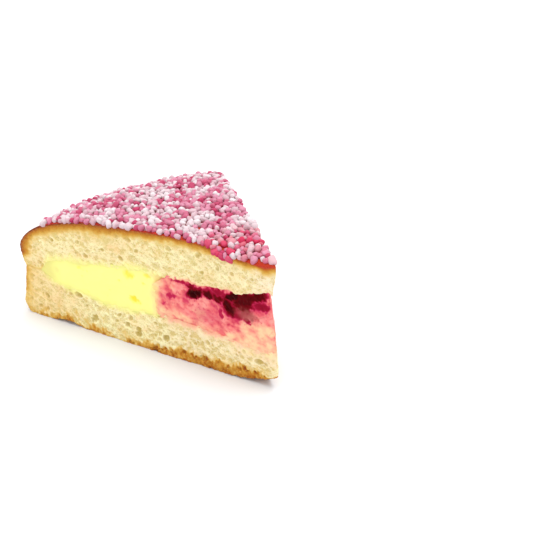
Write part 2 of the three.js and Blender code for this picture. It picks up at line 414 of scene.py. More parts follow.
def surface(shade, **sockets):
    """Ends a material in one Principled shader. Underscores stand for the spaces in a socket's name."""
    named = {name.replace("_", " "): value for name, value in sockets.items()}
    shader = shade.node("ShaderNodeBsdfPrincipled", None, named)
    shade.node("ShaderNodeOutputMaterial", None, {"Surface": shader})


def new_piece(name, points, faces, fields, material):
    mesh = bpy.data.meshes.new(name)
    mesh.from_pydata((points * MM).tolist(), [], faces.tolist())
    mesh.shade_smooth()
    for field, values in fields.items():
        stored = mesh.attributes.new(field, "FLOAT", "POINT")
        stored.data.foreach_set("value", np.asarray(values, np.float32))
    mesh.materials.append(material)
    piece = bpy.data.objects.new(name, mesh)
    bpy.context.collection.objects.link(piece)
    return piece


CRUMB_WALL = colour(252, 243, 195)
# Painted shade for the crumb's hollows and bubbles, drifting between these two tones.
CRUMB_HOLLOW_SHADE = colour(214, 188, 108)
CRUMB_OLIVE_SHADE = colour(206, 182, 104)
CRUMB_PEACH = colour(248, 218, 164)
CRUMB_MILKY = colour(248, 234, 208)
PORE_SHADE = colour(187, 160, 66)
PALE_GOLD = colour(228, 190, 102)
GOLD = colour(205, 149, 56)
AMBER = colour(183, 112, 26)
BROWN = colour(162, 84, 12)
DARK_BROWN = colour(120, 46, 8)
PINK_JUICE = colour(248, 168, 142)
PEACH_JUICE = colour(250, 212, 166)
CREAM_STAIN = colour(252, 244, 150)
GLAZE_RED = colour(194, 42, 27)


def brioche_material(name, gloss, flecks):
    """Crumb and crust in one, by the fields bake, hollow, pore, lip, warm, milky, soak, cream and glaze.

    gloss is how much the crust shines, and flecks how spotted it is. A field that a piece doesn't
    have is 0."""
    material, shade = new_material(name)
    bake = shade.field("bake") + 0.16 * (shade.speckle(1.4, 4) - 0.5)
    # The crumb's hollows and bubbles are darkened with painted shade; the lips round the pores are kept
    # free of it.
    bubbles = (0.55 * shade.field("hollow") + 0.3 * shade.bubbles(0.8)).stretched(0, 1)
    bubbles = bubbles * (1 - shade.field("lip"))
    patchy = shade.speckle(11).stretched(0.5, 0.7) * 0.4 + shade.speckle(3.5).stretched(0.48, 0.68) * 0.4
    crumb = (patchy + shade.field("warm")).mixed(CRUMB_WALL, CRUMB_PEACH)
    hollow = shade.speckle(5).stretched(0.4, 0.6).mixed(CRUMB_HOLLOW_SHADE, CRUMB_OLIVE_SHADE)
    crumb = bubbles.mixed(crumb, hollow)
    crumb = (shade.field("milky") * (1 - 0.8 * bubbles)).mixed(crumb, CRUMB_MILKY)
    juice = (shade.field("soak") + shade.speckle(4)).stretched(1.05, 1.55).mixed(PEACH_JUICE, PINK_JUICE)
    crumb = (shade.field("soak") * (1 - 0.4 * bubbles)).mixed(crumb, juice)
    crumb = (shade.field("cream") * 0.8).mixed(crumb, CREAM_STAIN)
    # Painted shade in the pores.
    crumb = (shade.field("pore") * 0.7).mixed(crumb, PORE_SHADE)
    crust = bake.ramp((0.22, PALE_GOLD), (0.4, GOLD), (0.62, AMBER), (0.85, BROWN), (1, DARK_BROWN))
    flecked = 0.7 * flecks * bake.stretched(0.3, 0.5)
    crust = (shade.speckle(1, 2).stretched(0.52, 0.7) * flecked).mixed(crust, PALE_GOLD)
    crust = (shade.speckle(1.4, 2).stretched(0.55, 0.7) * flecked).mixed(crust, DARK_BROWN)
    # Painted shade in the pores of the crust, in dark brown.
    crust = (shade.field("pore") * flecked * 0.5).mixed(crust, DARK_BROWN)
    tint = bake.stretched(0.03, 0.3).mixed(crumb, crust)
    tint = shade.field("glaze").mixed(tint, GLAZE_RED)
    rough = 0.85 - gloss * bake.stretched(0.4, 0.9)
    surface(
        shade, Base_Color=tint, Roughness=rough, Normal=shade.bump(1 - bubbles, 0.2),
        Subsurface_Weight=0.2, Subsurface_Scale=0.001, Subsurface_Radius=(1.0, 0.7, 0.35),
        Specular_IOR_Level=0.2,
    )
    return material


base = layer(
    even_stations(base_top, TIP_RADIUS, FOOT_RADIUS, BRIOCHE_CELLS[0]), base_underside, base_top,
    BRIOCHE_CELLS, pinched=True,
)
base_points = place(base.s, base.turn, base.z)
base_lumps = noise(base_points, 5, 1)
far_share = smoothstep(base.turn, 0, 1)
above_table = base.z - base_underside(base.s, base.turn)
below_top = base_top(base.s, base.turn) - base.z
wall_radius = np.interp(
    base.z,
    (FOOT_BEND[1], FOOT_HEIGHT, WALL_BEND[1], SEAM_HEIGHT),
    (FOOT_BEND[0], FOOT_RADIUS, WALL_BEND[0], SEAM_RADIUS),
)
from_wall = wall_radius - base.s


def crust(depth, fade):
    """How much of a crust is left at a depth below its surface: 1 on the skin, and 0 in the crumb."""
    return np.exp(-((np.maximum(depth, 0) / fade) ** 1.3))


# The bake is 0 in the crumb and 1 where the crust is darkest. The underside browns more than the wall,
# and most of all towards the tip, where it baked through in upright spikes.
upright = base_points * (1, 1, 0.4)
spiky = 1 + 0.35 * noise(upright, 1.8, 2) + 0.3 * noise(upright, 0.9, 3)
baked_through = mixed(4.7, 3.2, smoothstep(base.s, 38, 58)) * spiky
baked_through = baked_through * mixed(0.1, 1, smoothstep(base.s, 2, 13))
rise = above_table / baked_through
dark_skin = 0.2 * (1 - smoothstep(rise, 0.05, 0.4))
dark_spikes = 0.6 * np.exp(-(((rise - 0.85) / 0.25) ** 2))
dark_spikes = dark_spikes * smoothstep(noise(base_points, 1.6, 15), 0, 0.5)
well_done = (0.54 + dark_skin + dark_spikes) * (1 - smoothstep(rise, 0.55, 1.45))
golden = (1 - smoothstep(above_table, 2.5, 9)) * smoothstep(base.s, 2, 8)
golden = golden * (1 - smoothstep(base.s, 26, 48))
well_done = np.maximum(well_done, 0.28 * golden)
scorched = smoothstep(noise(base_points, 3.6, 13) + 0.5 * noise(base_points, 1.2, 14), -0.25, 0.35)
lightly_done = mixed(0.22, 0.55, scorched) * crust(above_table, mixed(2.4, 4.4, scorched) * spiky)
lightly_done = lightly_done + 0.06 * (1 - smoothstep(above_table, 0.3, 1.4))
base_bake = mixed(well_done, lightly_done, smoothstep(base.s + 5 * base_lumps, 54, 76))
base_bake *= 0.88 + 0.25 * noise(base_points, 2.6, 6) + 0.3 * noise(upright, 0.8, 5)
wall_bake = 0.21 * (1 + 0.4 * noise(base_points, 7, 10) + 0.7 * noise(base_points, 2.4, 12))
wall_bake *= mixed(1, 0.8, smoothstep(base.z, 12, SEAM_HEIGHT))
wall_bake = wall_bake * crust(from_wall, 2.6 + 0.8 * base_lumps) + 0.12 * crust(from_wall, 20)
base_bake = np.maximum(base_bake, wall_bake)
by_seam = smoothstep(base.s, SEAM_START - 1, SEAM_START + 5)
by_seam = by_seam * (1 - smoothstep(below_top + base_lumps, 0, 3.4))
base_bake = np.maximum(base_bake, 0.3 * by_seam)

# Juice runs deepest at the tip of the near cut, and under the whole mousse at the far cut.
near_soak = 6.5 + 5 * (1 - smoothstep(base.s, 0, 32))
soak_depth = mixed(near_soak, 8.5 - 3 * smoothstep(base.s, 60, 100), far_share)
soak_end = mixed(*SOAK_END, far_share)
base_soak = 1 - smoothstep(below_top + 1.5 * base_lumps, 0, soak_depth)
base_soak *= 1 - smoothstep(base.s + 2 * base_lumps, soak_end - 6, soak_end)
base_soak *= mixed(mixed(0.75, 1, smoothstep(base.s, 14, 30)), 1, far_share)
base_soak = np.maximum(base_soak, 0.15 * (1 - smoothstep(base.s, 40, 60)))
base_cream = 1 - smoothstep(below_top + 1.2 * base_lumps, 0, 3 + smoothstep(base.s, 100, 114))
base_cream *= smoothstep(base.s, soak_end - 4, soak_end + 2)
base_cream *= 1 - smoothstep(base.s + base_lumps, *CREAM_END)

# Some cream has also run under the mousse at the tip of the near cut.
under_tip = np.exp(-(((base.s - 12) / 8) ** 2) - ((below_top - 1.5) / 2) ** 2) * (1 - far_share)
base_cream = np.maximum(base_cream, under_tip * smoothstep(noise(base_points, 3, 16), -0.5, 0.4))

base_pores, base_lips = pores(base, base_points, 11, BASE_PORES, BASE_PORE_SIZES, PORE_FINENESS)
base_pores *= smoothstep(below_top, 0, 1) * smoothstep(from_wall, 1, 5) * (1 - 0.6 * base_soak)
by_tip = 1 - smoothstep(base.s, *OPEN_CRUMB_END)
base_web = crumb_web(base_points, 4) * mixed(1, 1.6, by_tip) * (1 - 0.35 * base_soak)
base_points = pressed(base_points, base, base_pores + CRUMB_DEPTH * base_web)
inner = ~(base.near | base.far)
pitted = smoothstep(noise(base_points, 1.7, 7), 0.25, 0.8)
base_points[:, 2] += np.where(base.up == 0, 0.5 * pitted * smoothstep(FOOT_START - base.s, -4, 2), 0)
wrinkle = noise(base_points * (1, 1, 1.6), 4, 8) + 0.5 * noise(base_points, 1.5, 9)
on_wall = inner & (from_wall < 0.2)
base_points[:, :2] *= 1 - np.where(on_wall, WALL_WRINKLE * (1 + wrinkle), 0)[:, None]

base_piece = new_piece(
    "base_crumb", base_points, base.faces,
    {
        "bake": base_bake,
        "hollow": base_web,
        "pore": np.clip(base_pores / PORE_FULL, 0, 1),
        "lip": base_lips,
        "warm": 0.75 * smoothstep(base.s + 4 * base_lumps, 92, 116),
        "milky": (0.3 + 0.4 * (1 - smoothstep(below_top, 2, 9))) * by_tip,
        "soak": base_soak,
        "cream": base_cream,
    },
    brioche_material("brioche_base", 0.2, 0.8),
)
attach(base_piece, "root")
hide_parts("base")


# Custard. A ring of cooked vanilla pastry cream, piped on the base: smooth, dense and pale yellow,
# with a few pits where the knife dragged, darkened with painted shade, and painted shade along its
# border with the bread. It takes a blush where it meets the mousse.

OVERLAP = 1.2  # the fillings press this far into the torn brioche
CUSTARD_END = 119.7
MOUSSE_END = (58, 98.5)  # where the mousse meets the custard, at the near cut and at the far cut
MOUSSE_SWAY = 1.2
CUSTARD_BUBBLES = 30  # on each cut
CUSTARD_BUBBLE_SIZES = (0.3, 0.9)
CUSTARD_CELLS = (160, 40, 56)
CUSTARD = colour(250, 249, 146)
# Painted shade along the custard's border with the bread.
CUSTARD_EDGE_SHADE = colour(232, 222, 130)
# Painted shade in the custard's pits.
CUSTARD_PIT_SHADE = colour(244, 228, 60)
CUSTARD_BLUSH = colour(248, 226, 150)

# Where the knife dragged deep pits: middle (s, z), half length, half width, slant in degrees and depth.
NEAR_PITS = (
    (71.3, 33.2, 2.2, 1.4, 0, 0.8),
    (69.6, 22, 2.4, 1.6, 0, 1),
    (61.5, 35, 1.8, 0.9, 0, 0.7),
    (97, 30, 1.6, 0.8, 10, 0.4),
)
FAR_PITS = (
    (105, 24, 2.2, 1.2, 20, 0.8),
    (112, 27, 1.6, 1, 0, 0.6),
)

lid_hollow = between(
    curve(
        (0, 42.1), (13, 39.6), (30, 37.9), (54, 37), (84, 34), (96, 31.6), (115, 28.4),
        (SEAM_START, SEAM_HEIGHT),
    ),
    curve((0, 40.1), (24, 41.6), (60, 42), (86, 39.6), (104, 35), (114, 29.6), (SEAM_START, SEAM_HEIGHT)),
)


def mousse_end(turn):
    return mixed(*MOUSSE_END, smoothstep(turn, 0, 1)) + MOUSSE_SWAY * np.sin(9 * turn)


def overlap(s):
    """How far a filling reaches into the brioche: nothing at the thin end by the seam."""
    return OVERLAP * (1 - smoothstep(s, 112, CUSTARD_END))


def spots(part, points, near_rows, far_rows, seed):
    """How strong the spots in the rows for each cut are at each point, and the wider stain round them.

    A row holds a spot's middle (s, z), half length, half width, slant in degrees and strength."""
    fine = 0.5 * noise(points, 0.7, seed + 4)
    astray_s = 1.3 * noise(points, 4, seed) + 0.8 * noise(points, 1.3, seed + 1) + fine
    astray_z = noise(points, 4, seed + 2) + 0.7 * noise(points, 1.3, seed + 3) + fine
    found = np.zeros(len(points))
    stain = np.zeros(len(points))
    for on_side, rows in ((part.turn < 0.5, near_rows), (part.turn >= 0.5, far_rows)):
        for s, z, length, width, slant, strength in rows:
            ds, dz = part.s + astray_s - s, part.z + astray_z - z
            c, n = math.cos(math.radians(slant)), math.sin(math.radians(slant))
            reach = np.hypot((ds * c + dz * n) / length, (dz * c - ds * n) / width)
            found = np.maximum(found, on_side * strength * (1 - smoothstep(reach, 0.45, 1.5)))
            spread = 1 + 1.8 / math.sqrt(length * width)
            stain = np.maximum(stain, on_side * strength * (1 - smoothstep(reach, 0.8, 1.4 * spread)))
    return found, stain


custard = layer(
    lambda share, turn: mixed(mousse_end(turn) - 7, CUSTARD_END, share),
    lambda s, turn: base_bowl(s, turn) - overlap(s),
    lambda s, turn: lid_hollow(s, turn) + overlap(s),
    CUSTARD_CELLS,
)
custard_points = place(custard.s, custard.turn, custard.z)
from_mousse = custard.s - mousse_end(custard.turn)
custard_pits, _ = pores(custard, custard_points, 21, CUSTARD_BUBBLES, CUSTARD_BUBBLE_SIZES, 2)
dragged, _ = spots(custard, custard_points, NEAR_PITS, FAR_PITS, 25)
custard_pits = np.maximum(custard_pits, dragged)
smears = 0.2 * noise(custard_points * (1, 1, 3), 9, 22) + 0.08 * noise(custard_points, 2.5, 23)
behind = 1.8 * (1 - smoothstep(from_mousse, -3, 1))
custard_points = pressed(custard_points, custard, 0.3 + behind + 0.6 * custard_pits + smears)
blush = 1 - smoothstep(from_mousse + 1.5 * noise(custard_points, 3, 24), 0, 4)
to_bread = np.minimum(
    custard.z - base_bowl(custard.s, custard.turn), lid_hollow(custard.s, custard.turn) - custard.z
)
# Painted shade: the custard darkens where it meets the overhanging bread, and towards its thin end at the
# seam.
custard_edge_shade = 0.5 * (1 - smoothstep(to_bread + 0.8 * noise(custard_points, 2.2, 26), -0.3, 2))
thin_end = smoothstep(custard.s + 4 * noise(custard_points, 3, 27), 104, CUSTARD_END)
custard_edge_shade = np.maximum(custard_edge_shade, thin_end)

custard_material, shade = new_material("custard")
tint = shade.field("edge").mixed(CUSTARD, CUSTARD_EDGE_SHADE)
# Painted shade in the pits, deepest where they are deepest.
tint = shade.field("pit").mixed(tint, CUSTARD_PIT_SHADE)
tint = shade.field("blush").mixed(tint, CUSTARD_BLUSH)
surface(
    shade, Base_Color=tint, Roughness=0.5, Normal=shade.bump(shade.speckle(1.5), 0.08),
    Subsurface_Weight=0.3, Subsurface_Scale=0.002, Subsurface_Radius=(1.0, 0.9, 0.4),
    Specular_IOR_Level=0.2,
)
custard_piece = new_piece(
    "custard_ring", custard_points, custard.faces,
    {"pit": np.clip(custard_pits, 0, 1), "blush": blush, "edge": custard_edge_shade}, custard_material,
)
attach(custard_piece, "root")
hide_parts("custard")


# Mousse. Whipped cream folded with raspberry pulp: airy and grainy, peach where it is thin and crimson
# where bits of fruit show. It fills the middle of the cake inside the custard.

BED_START = 2.2
BED_END = (47, 96)  # at the near cut and at the far cut
BED_LUMP = 0.9
BED_LUMP_LENGTH = 13
BORDER_BULGE = 1.6
AIR_HOLES = 300  # on each cut
AIR_HOLE_SIZES = (0.25, 1.1)
MOUSSE_CELLS = (220, 44, 56)
MOUSSE_CREAM = colour(247, 207, 160)
MOUSSE_LIGHT = colour(245, 158, 148)
MOUSSE_PEACH = colour(244, 176, 146)
MOUSSE_PINK = colour(238, 124, 122)
MOUSSE_DEEP = colour(212, 70, 92)
HOT_PINK = colour(206, 48, 92)
CRIMSON = colour(160, 18, 52)
DARK_RED = colour(108, 1, 12)
BERRY_BLACK = colour(56, 0, 3)
BERRY_BLOOM = colour(160, 76, 74)

# Fruit on a cut: its middle (s, z), half length, half width, slant in degrees and ripeness. A ripeness
# of 1 is a black berry, 0.7 a dark red one, 0.4 crimson pulp and 0.2 a pink stain.
NEAR_FRUIT = (
    (32, 34.6, 9, 2.2, 0, 0.44),
    (19.5, 33.2, 6.5, 4, -10, 0.46),
    (46, 36.8, 4.4, 0.7, 0, 0.34),
    (39.5, 36.2, 4, 1.3, 0, 0.68),
    (38.2, 33.2, 4.2, 2.1, -38, 1),
    (32, 34.1, 2.8, 1.8, 5, 0.85),
    (26.5, 36.9, 4.4, 1.7, 0, 0.46),
    (27, 34, 2.8, 1.7, 0, 0.72),
    (20, 36.8, 4, 1.9, -10, 1),
    (11, 38.8, 10, 2.4, -12, 0.82),
    (15, 35.5, 5.8, 2.1, -15, 0.84),
    (22, 31.5, 4.8, 2.5, 60, 0.87),
    (15, 33.2, 5.5, 2, -10, 0.72),
    (6, 35, 4.2, 2.4, -15, 0.5),
    (13.6, 28, 2.4, 1.2, 5, 0.5),
    (18.5, 28.6, 2.4, 2, 0, 0.5),
    (49.5, 29.4, 2.8, 1.8, -25, 0.3),
    (54, 28.4, 2, 1.4, 0, 0.17),
    (53.4, 25.3, 2.4, 0.8, -15, 0.26),
    (25.6, 28.2, 2.8, 1, 80, 0.34),
    (29, 30.4, 3, 1.3, 20, 0.22),
    (42.5, 28.3, 1.9, 1.4, -30, 0.2),
    (37, 21.4, 2.6, 1.6, 0, 0.16),
    (32, 25, 9, 4, 0, 0.17),
)
FAR_FRUIT = (
    (21, 35.5, 13, 3, -4, 1),
    (14, 31, 3, 1.4, 60, 0.75),
    (36, 39.3, 7, 2.6, -4, 0.42),
    (41, 36.2, 4.5, 1.6, 0, 0.75),
    (50.5, 34.2, 4.6, 2.2, -38, 1),
    (52, 39.2, 8.5, 2, 0, 0.5),
    (71, 38, 6.5, 2, -12, 0.48),
    (81, 35.5, 5, 1.7, -28, 0.6),
    (91, 34.5, 5, 3.8, 0, 1),
    (91.5, 29.5, 3.2, 1.8, 90, 0.8),
    (43, 24, 2.4, 1.5, 0, 0.55),
    (65, 28.5, 3.6, 2, 0, 0.3),
    (77, 25.5, 4.6, 1.2, 86, 0.5),
)

# Where little fruit was folded in, so that the cream shows: rows as for the fruit.
NEAR_CREAM = (
    (36.5, 24.8, 3.2, 2.6, 20, 1),
    (46, 20.8, 3.4, 1.6, 0, 0.9),
    (9, 25, 7, 3.2, -10, 1),
    (11, 17.8, 11, 1.8, 0, 1),
    (53, 34, 5, 2.6, 0, 0.6),
)
FAR_CREAM = (
    (33, 26, 4, 2.4, 0, 0.9),
    (56, 24, 4.5, 2, 20, 0.9),
    (84, 22, 3, 2.5, 0, 0.9),
)

# Where a berry's pale, downy outside shows: rows as for the fruit.
NEAR_BLOOM = ((14, 29.8, 4.4, 2.4, 0, 1),)
FAR_BLOOM = ((26, 31.5, 4, 1.5, 0, 0.8),)

bed_thickness = between(
    curve((2, 7.5), (12, 12), (21, 10), (30, 5.5), (40, 3.6), (48, 1.4)),
    curve((2, 3.4), (18, 9.5), (50, 8.6), (62, 4.4), (80, 6.5), (91, 10), (98, 3.5)),
)


def bed_end(turn):
    return mixed(*BED_END, smoothstep(turn, 0, 1))


def bed_underside(s, turn):
    lumps = np.sin(2 * math.pi * s / BED_LUMP_LENGTH + 8 * turn)
    return lid_hollow(s, turn) - bed_thickness(s, turn) - BED_LUMP * lumps


def mousse_top(s, turn):
    covered = 1 - smoothstep(s, bed_end(turn) - 1, bed_end(turn) + 1)
    return mixed(lid_hollow(s, turn), bed_underside(s, turn), covered) + OVERLAP


def fruit_fields(part, points):
    """The fields of the fruit's material, for the mousse and the berries alike."""
    end = mousse_end(part.turn)
    pale = (1 - smoothstep(part.z - base_bowl(part.s, part.turn), 0, 6)) + smoothstep(part.s, end - 6, end)
    pale = pale + (1 - smoothstep(part.s, 6, 26)) * (1 - smoothstep(part.z, 24, 31))
    pale = pale + 0.5 * noise(points, 6, 35) - 0.35 + 0.55 * smoothstep(part.s, end - 16, end - 8)
    creamy, _ = spots(part, points, NEAR_CREAM, FAR_CREAM, 41)
    berry, stain = spots(part, points, NEAR_FRUIT, FAR_FRUIT, 36)
    bloom, _ = spots(part, points, NEAR_BLOOM, FAR_BLOOM, 43)
    curd = 0.6 * noise(points, 3, 32) + 0.5 * noise(points * (0.8, 0.8, 1.2), 1.3, 33)
    return {
        "berry": berry,
        "stain": stain,
        "pale": np.clip(pale + creamy, 0, 1),
        "bloom": bloom,
        "end": 0.9 * smoothstep(part.s + 1.2 * noise(points, 2.5, 34), end - 2.5, end + 0.8),
        "curd": np.clip(0.5 + 0.65 * curd + 0.3 * creamy, 0, 1),
    }


def fruit_relief(points, fields):
    """How deep the cut fruit lies: curds in the mousse, and mounds with creases in the berries."""
    ripe = smoothstep(fields["berry"], 0.3, 0.7)
    beads = np.abs(noise(points, 1.6, 37))
    return 0.35 + mixed(0.9 * (0.5 - fields["curd"]), -0.5 * beads - 0.1, ripe)


def fruit_material(name):
    material, shade = new_material(name)
    berry = shade.field("berry")
    berry = berry + 0.2 * (shade.speckle(1.5) - 0.5) * berry.stretched(0.1, 0.4)
    curd = shade.field("curd") + 0.5 * (shade.speckle(1.2, 4) - 0.5)
    cream = curd.ramp((0.1, MOUSSE_DEEP), (0.45, MOUSSE_PINK), (0.85, MOUSSE_LIGHT))
    peach = curd.ramp((0.15, MOUSSE_PINK), (0.5, MOUSSE_PEACH), (0.9, MOUSSE_CREAM))
    cream = (shade.field("pale") * 0.9).mixed(cream, peach)
    cream = shade.field("end").mixed(cream, CUSTARD_BLUSH)
    cream = (shade.field("stain") * (1.2 - curd)).mixed(cream, HOT_PINK)
    grains = shade.speckle(1.4, 4).stretched(0.56, 0.68) * (0.7 - 0.5 * shade.field("pale"))
    cream = grains.mixed(cream, MOUSSE_DEEP)
    fruit = berry.ramp((0.2, HOT_PINK), (0.42, CRIMSON), (0.68, DARK_RED), (0.92, BERRY_BLACK))
    tint = berry.stretched(0.06, 0.3).mixed(cream, fruit)
    tint = (shade.field("bloom") * 0.85).mixed(tint, BERRY_BLOOM)
    surface(
        shade, Base_Color=tint, Roughness=0.65 - 0.3 * berry, Normal=shade.bump(shade.speckle(0.9, 4), 0.2),
        Subsurface_Weight=0.15, Subsurface_Scale=0.001, Subsurface_Radius=(1.0, 0.4, 0.4),
        Specular_IOR_Level=0.03,
    )
    return material


mousse = layer(
    lambda share, turn: mixed(1.2, mousse_end(turn), share),
    lambda s, turn: base_bowl(s, turn) - OVERLAP,
    mousse_top,
    MOUSSE_CELLS,
)
flat_points = place(mousse.s, mousse.turn, mousse.z)
bulge = 2 * BORDER_BULGE * (1 - (2 * mousse.up - 1) ** 2) - 5 * smoothstep(mousse.up, 0.6, 1)
bulge = bulge + 1.2 * noise(flat_points, 5, 39) - 1
mousse.s = mousse.s + bulge * smoothstep(mousse.s / mousse_end(mousse.turn), 0.7, 1)
mousse_points = place(mousse.s, mousse.turn, mousse.z)
mousse_fields = fruit_fields(mousse, mousse_points)
mousse_depth = fruit_relief(mousse_points, mousse_fields)
air_holes, _ = pores(mousse, mousse_points, 31, AIR_HOLES, AIR_HOLE_SIZES, 2)
mousse_depth = mousse_depth + 0.6 * air_holes
under_bed = smoothstep(mousse.z - bed_underside(mousse.s, mousse.turn), -0.3, 0.5)
under_bed = under_bed * (mousse.s < bed_end(mousse.turn))
mousse_points = pressed(mousse_points, mousse, mousse_depth + 0.5 * under_bed)

mousse_piece = new_piece(
    "mousse_heart", mousse_points, mousse.faces, mousse_fields, fruit_material("raspberry_mousse")
)
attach(mousse_piece, "root")
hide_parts("mousse")


# Raspberries. Dark berries pressed between the mousse and the lid, with some mousse forced between them:
# wet, nearly black where they are thick, crimson where light comes through. The knife cut them open.

BERRY_CELLS = (220, 32, 64)

berries = layer(
    lambda share, turn: mixed(BED_START, bed_end(turn) + 0.8, share),
    lambda s, turn: bed_underside(s, turn) - 0.3,
    lambda s, turn: lid_hollow(s, turn) + OVERLAP,
    BERRY_CELLS,
)
berry_points = place(berries.s, berries.turn, berries.z)
berry_fields = fruit_fields(berries, berry_points)
berry_depth = fruit_relief(berry_points, berry_fields)
under_lid = 0.5 * smoothstep(berries.z - lid_hollow(berries.s, berries.turn), -1.5, 0)
berry_points = pressed(berry_points, berries, berry_depth + under_lid)

berry_piece = new_piece(
    "raspberry_bed", berry_points, berries.faces, berry_fields, fruit_material("raspberry")
)
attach(berry_piece, "root")
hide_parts("raspberries")


# Lid. The upper half of the same brioche, set back on the fillings: its dome was washed with egg, so it
# baked to a shiny brown skin, paler where it tucks in at the seam. Red syrup glazes the crust under the
# sugar, and the crust has chipped off the near cut's edge by the tip.

CAKE_RADIUS = 131
CROWN_HEIGHT = 56.1
WIDEST_HEIGHT = 31.1
TUCK_BEND = (129.83, 26.48)  # a point (s, z) between the seam and the widest place
MIDDLE_DIP = 1.2
MIDDLE_DIP_RADIUS = 45
CHIP_DEPTH = 1.8
CHIP_START = 20
CHIP_END = 27
CHIP_WIDTH = 0.3
RIM_SWELL = (0.84, 1.2)  # at the near cut and away from it
CRUST_RIPPLE = 0.5
DARKER_CRUST = (55, 85)  # the crust thickens and darkens between these radii
TUCK_PALE = (26.5, 30.5)  # and pales between these heights, where it tucks in
LID_PORES = 380  # on each cut
LID_PORE_SIZES = (0.32, 1.3)
LID_CRUMB_DEPTH = 0.4
SUGAR_END = 116.5

lid_tuck = curve((SEAM_RADIUS, SEAM_HEIGHT), TUCK_BEND, (CAKE_RADIUS, WIDEST_HEIGHT))
torn_hollow = torn(lid_hollow, 73)


def lid_underside(s, turn):
    return np.where(s < SEAM_RADIUS, torn_hollow(s, turn), lid_tuck(s))


def crust_top(s, turn):
    dome = np.sqrt(np.maximum(0, 1 - (s / CAKE_RADIUS) ** 3))
    dip = MIDDLE_DIP * (1 - smoothstep(s, 0, MIDDLE_DIP_RADIUS))
    chipped = smoothstep(s, 0, 6) * (1 - smoothstep(s, CHIP_END - 1, CHIP_END + 1.5))
    chip = CHIP_DEPTH * chipped * (1 - smoothstep(turn, 0, CHIP_WIDTH))
    swollen = smoothstep(s, 70, 108) * (1 - smoothstep(s, 116, CAKE_RADIUS))
    swell = mixed(*RIM_SWELL, smoothstep(turn, 0, 0.4)) * swollen
    ripple = CRUST_RIPPLE * dome * np.sin(s / 11 + 5 * turn) * np.cos(s / 17 - 7 * turn)
    return WIDEST_HEIGHT + (CROWN_HEIGHT - WIDEST_HEIGHT) * dome - dip - chip + swell + ripple


lid = layer(
    even_stations(crust_top, TIP_RADIUS, CAKE_RADIUS, BRIOCHE_CELLS[0]), lid_underside, crust_top,
    BRIOCHE_CELLS, pinched=True,
)
lid_points = place(lid.s, lid.turn, lid.z)
lid_lumps = noise(lid_points, 6, 51)
below_crust = crust_top(lid.s, lid.turn) - lid.z
above_hollow = lid.z - lid_underside(lid.s, lid.turn)
dome_share = np.clip((lid.z - WIDEST_HEIGHT) / (CROWN_HEIGHT - WIDEST_HEIGHT), 0, 1)
dome_radius = CAKE_RADIUS * (1 - dome_share**2) ** (1 / 3)
tuck_radius = np.interp(
    lid.z, (SEAM_HEIGHT, TUCK_BEND[1], WIDEST_HEIGHT), (SEAM_RADIUS, TUCK_BEND[0], CAKE_RADIUS)
)
from_skin = np.minimum(below_crust, np.where(lid.z > WIDEST_HEIGHT, dome_radius, tuck_radius) - lid.s)

darker = smoothstep(lid.s, *DARKER_CRUST)
crust_fade = 2.6 + 0.9 * darker - 0.4 * smoothstep(lid.s, 95, 110) + smoothstep(lid.s, 117, 126)
crust_fade = crust_fade + 0.4 * lid_lumps + 0.6 * noise(lid_points, 2, 52)
lid_bake = crust(from_skin, crust_fade) * mixed(0.8, 0.93, darker)
lid_bake *= 1 + 0.1 * noise(lid_points, 11, 53) + 0.08 * noise(lid_points, 3, 57)
lid_bake = lid_bake + np.where(lid.near | lid.far, 0.18 * crust(from_skin, 0.8), 0)
lid_bake *= mixed(0.2, 1, smoothstep(lid.z, *TUCK_PALE))
by_chip = 1 - smoothstep(lid.turn, 0, CHIP_WIDTH)
bared = smoothstep(lid.s, CHIP_START - 3, CHIP_START + 2)
bared = bared * (1 - smoothstep(lid.s, CHIP_END, CHIP_END + 1))
lid_bake *= 1 - 0.6 * bared * by_chip
broken_edge = np.exp(-(((lid.s - CHIP_END - 1.3) / 0.8) ** 2)) * crust(from_skin, 2.6)
lid_bake = np.maximum(lid_bake, 0.95 * broken_edge * by_chip)
by_seam = smoothstep(lid.s, SEAM_START - 3, SEAM_START)
by_seam = by_seam * (1 - smoothstep(above_hollow + lid_lumps, 0, 2.4))
lid_bake = np.maximum(lid_bake, 0.24 * by_seam)
stained = bed_end(lid.turn)
lid_soak = 1 - smoothstep(above_hollow + 0.8 * lid_lumps, 0, 1.6)
lid_soak *= 1 - smoothstep(lid.s, stained, stained + 6)
lid_soak *= mixed(0.3, 1, smoothstep(lid.s, 14, 26))
lid_cream = 1 - smoothstep(above_hollow + 1.5 * lid_lumps, 0, 4.5)
lid_cream *= smoothstep(lid.s, stained + 4, stained + 12)
lid_cream *= 1 - smoothstep(lid.s + lid_lumps, *CREAM_END)

lid_pores, lid_lips = pores(lid, lid_points, 54, LID_PORES, LID_PORE_SIZES, PORE_FINENESS)
lid_pores *= 0.9 * smoothstep(above_hollow, 0, 1) * smoothstep(from_skin, 0.4, 2)
lid_web = crumb_web(lid_points, 55)
lid_points = pressed(lid_points, lid, lid_pores + LID_CRUMB_DEPTH * lid_web)
skin = noise(lid_points, 5, 58) + 0.5 * noise(lid_points, 2, 59)
lid_points[:, 2] += np.where(~(lid.near | lid.far) & (lid.up == 1), 0.12 * skin, 0)
glaze_depth = 0.7 + 1.3 * (1 - smoothstep(lid.s, 4, 15))
glaze = smoothstep(SUGAR_END + 2 * lid_lumps - lid.s, -1, 2)
glaze = glaze * (1 - smoothstep(below_crust, 0.1, glaze_depth))

